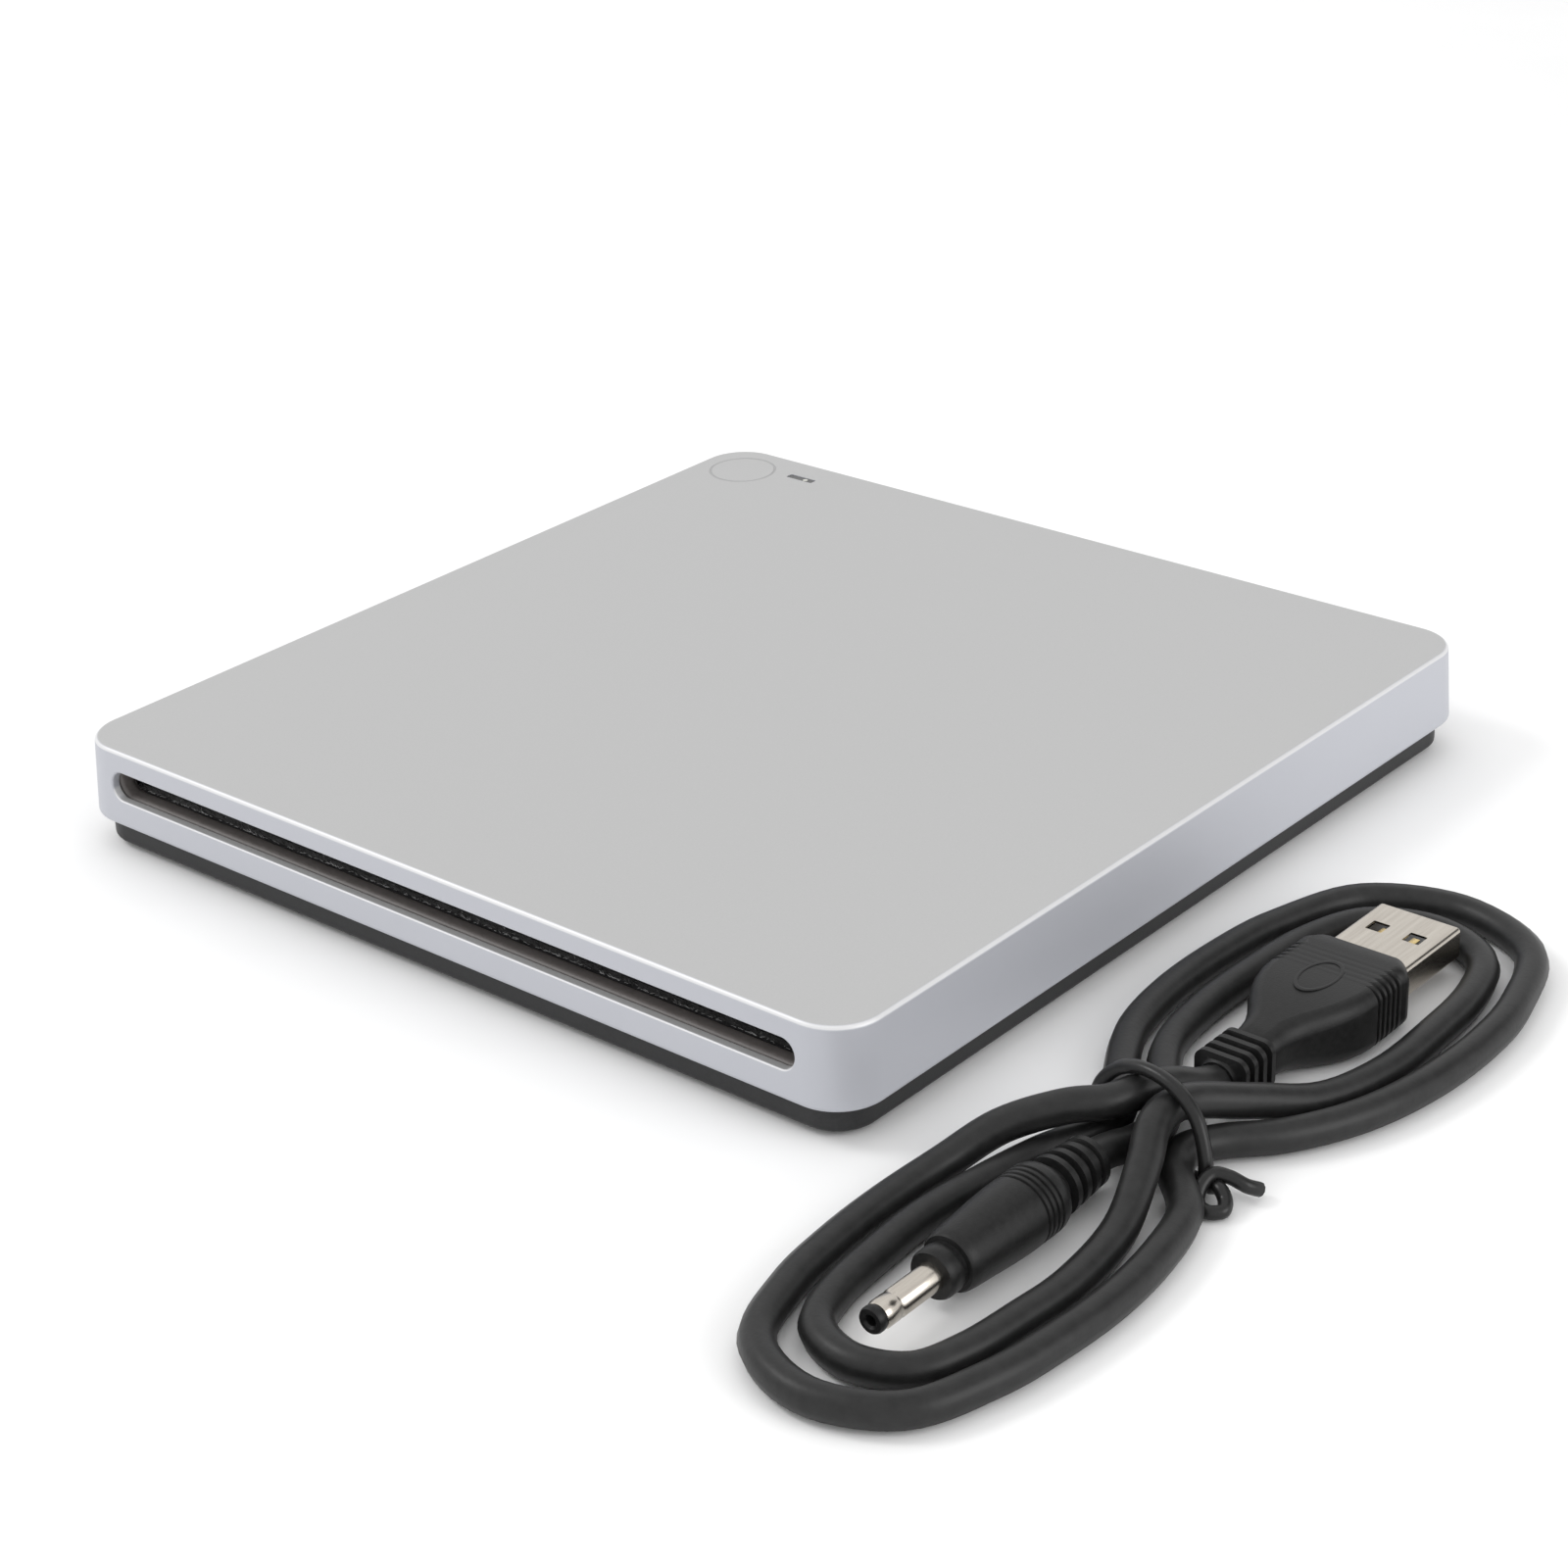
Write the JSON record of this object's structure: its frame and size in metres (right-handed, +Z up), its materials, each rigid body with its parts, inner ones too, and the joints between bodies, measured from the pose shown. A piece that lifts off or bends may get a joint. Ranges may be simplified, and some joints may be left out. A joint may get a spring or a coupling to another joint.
{
  "type": "external optical drive",
  "caption": "Slot-loading external disc drive in a silver shell on a black base, with a slim disc mechanism inside and a bundled USB-to-barrel power lead beside it.",
  "frame": {"origin": "on the table under the middle of the case, without the loose power lead", "axes": "+Z up, -Y out of the front with the disc slot, +X to the right as seen from above with the slot towards the viewer"},
  "size_m": [0.1907, 0.1867, 0.0163],
  "materials": {
    "shell_aluminium": "satin bead-blasted silver",
    "base_plastic": "fine matte black",
    "foot_rubber": "matte",
    "screw_steel": "dark plated",
    "liner_plastic": "matte dark",
    "felt": "short black pile",
    "ring_ink": "flush printed line",
    "smoked_window": "smoked clear",
    "circuit_board": "solder mask",
    "copper_foil": "bare",
    "led_lens": "clear",
    "chip": "matte",
    "plated_steel": "nickel plated",
    "connector_plastic": "moulded",
    "plated_brass": "plated",
    "ribbon": "film",
    "sheet_steel": "galvanised sheet",
    "gear_plastic": "acetal",
    "frame_plastic": "glass filled",
    "rod_steel": "ground",
    "cast_sled": "die cast",
    "lens": "coated",
    "cord_jacket": "satin black",
    "tie_plastic": "matte",
    "plug_plastic": "satin moulded",
    "plug_steel": "nickel plated",
    "tongue_plastic": "white moulded"
  },
  "bodies": {
    "case": {"top_cover": "shell_aluminium", "base_cover": "base_plastic", "foot_front_left": "foot_rubber", "foot_front_right": "foot_rubber", "foot_back_left": "foot_rubber", "foot_back_right": "foot_rubber", "case_screws": "screw_steel", "slot_liner": "liner_plastic", "upper_felt": "felt", "lower_felt": "felt", "eject_ring": "ring_ink", "led_window": "smoked_window", "touch_board": "circuit_board", "touch_electrode": "copper_foil", "status_led": "led_lens", "bridge_board": "circuit_board", "bridge_chip": "chip", "usb_socket": "plated_steel", "dc_socket": "connector_plastic", "dc_socket_pin": "plated_brass", "link_ribbon": "ribbon", "chassis_pan": "sheet_steel", "drive_lid": "sheet_steel", "main_board": "circuit_board", "servo_chip": "chip", "load_motor": "plated_steel", "power_cord": "cord_jacket", "cord_tie": "tie_plastic", "usb_plug_boot": "plug_plastic", "usb_plug_shell": "plug_steel", "usb_plug_tongue": "tongue_plastic", "dc_plug_boot": "plug_plastic", "dc_plug_barrel": "plug_steel", "dc_plug_tip": "plug_plastic"},
    "worm": {"load_worm": "gear_plastic"},
    "gear": {"loading_gear": "gear_plastic"},
    "cam": {"cam_slider": "gear_plastic"},
    "traverse": {"traverse_frame": "frame_plastic", "spindle_base": "sheet_steel", "guide_rod_left": "rod_steel", "guide_rod_right": "rod_steel", "feed_motor": "plated_steel"},
    "spindle": {"spindle_rotor": "plated_steel", "turntable_pad": "foot_rubber", "turntable_hub": "frame_plastic"},
    "screw": {"lead_screw": "rod_steel"},
    "pickup": {"sled": "cast_sled", "laser_unit": "plated_brass", "sled_nut": "gear_plastic"},
    "lens": {"lens_holder": "frame_plastic", "objective_lens": "lens"},
    "left_guide": {"left_arm": "sheet_steel", "left_tip": "foot_rubber"},
    "right_guide": {"right_arm": "sheet_steel", "right_tip": "foot_rubber"},
    "ejector": {"eject_arm": "sheet_steel", "eject_tip": "foot_rubber"}
  },
  "joints": [
    {"name": "cam_slide", "type": "slide", "parent": "case", "child": "cam", "axis": [0, 1, 0], "range_m": [0, 0.012]},
    {"name": "gear_turn", "type": "hinge", "parent": "case", "child": "gear", "pos_m": [-0.0442, -0.016, 0.0039], "axis": [0, 0, 1], "range_deg": [0, 143.3]},
    {"name": "worm_turn", "type": "hinge", "parent": "case", "child": "worm", "pos_m": [-0.0537, -0.016, 0.0056], "axis": [0, 1, 0], "range_deg": [0, 4298]},
    {"name": "traverse_lift", "type": "slide", "parent": "case", "child": "traverse", "axis": [0, 0, 1], "range_m": [0, 0.0032]},
    {"name": "spindle_spin", "type": "hinge", "parent": "traverse", "child": "spindle", "pos_m": [0, -0.003, 0.0049], "axis": [0, 0, 1], "continuous": true},
    {"name": "sled_slide", "type": "slide", "parent": "traverse", "child": "pickup", "axis": [0.7071, -0.7071, 0], "range_m": [0, 0.034]},
    {"name": "screw_turn", "type": "hinge", "parent": "traverse", "child": "screw", "pos_m": [-0.0145, -0.0175, 0.0044], "axis": [0.7071, -0.7071, 0], "range_deg": [-4081, 0]},
    {"name": "lens_focus", "type": "slide", "parent": "pickup", "child": "lens", "axis": [0, 0, 1], "range_m": [-0.0004, 0.0006], "stiffness_N_per_m": 20},
    {"name": "left_guide_swing", "type": "hinge", "parent": "case", "child": "left_guide", "pos_m": [-0.057, -0.054, 0.0137], "axis": [0, 0, -1], "range_deg": [0, 26]},
    {"name": "right_guide_swing", "type": "hinge", "parent": "case", "child": "right_guide", "pos_m": [0.057, -0.054, 0.0137], "axis": [0, 0, 1], "range_deg": [0, 26]},
    {"name": "ejector_swing", "type": "hinge", "parent": "case", "child": "ejector", "pos_m": [0.057, 0.049, 0.0137], "axis": [0, 0, 1], "range_deg": [0, 35]}
  ],
  "couplings": [
    {"joint": "gear_turn", "follows": "cam_slide", "rad_per_m": 208.33},
    {"joint": "worm_turn", "follows": "cam_slide", "rad_per_m": 6250},
    {"joint": "traverse_lift", "follows": "cam_slide", "ratio": 0.26667},
    {"joint": "screw_turn", "follows": "sled_slide", "rad_per_m": -2094.4}
  ]
}
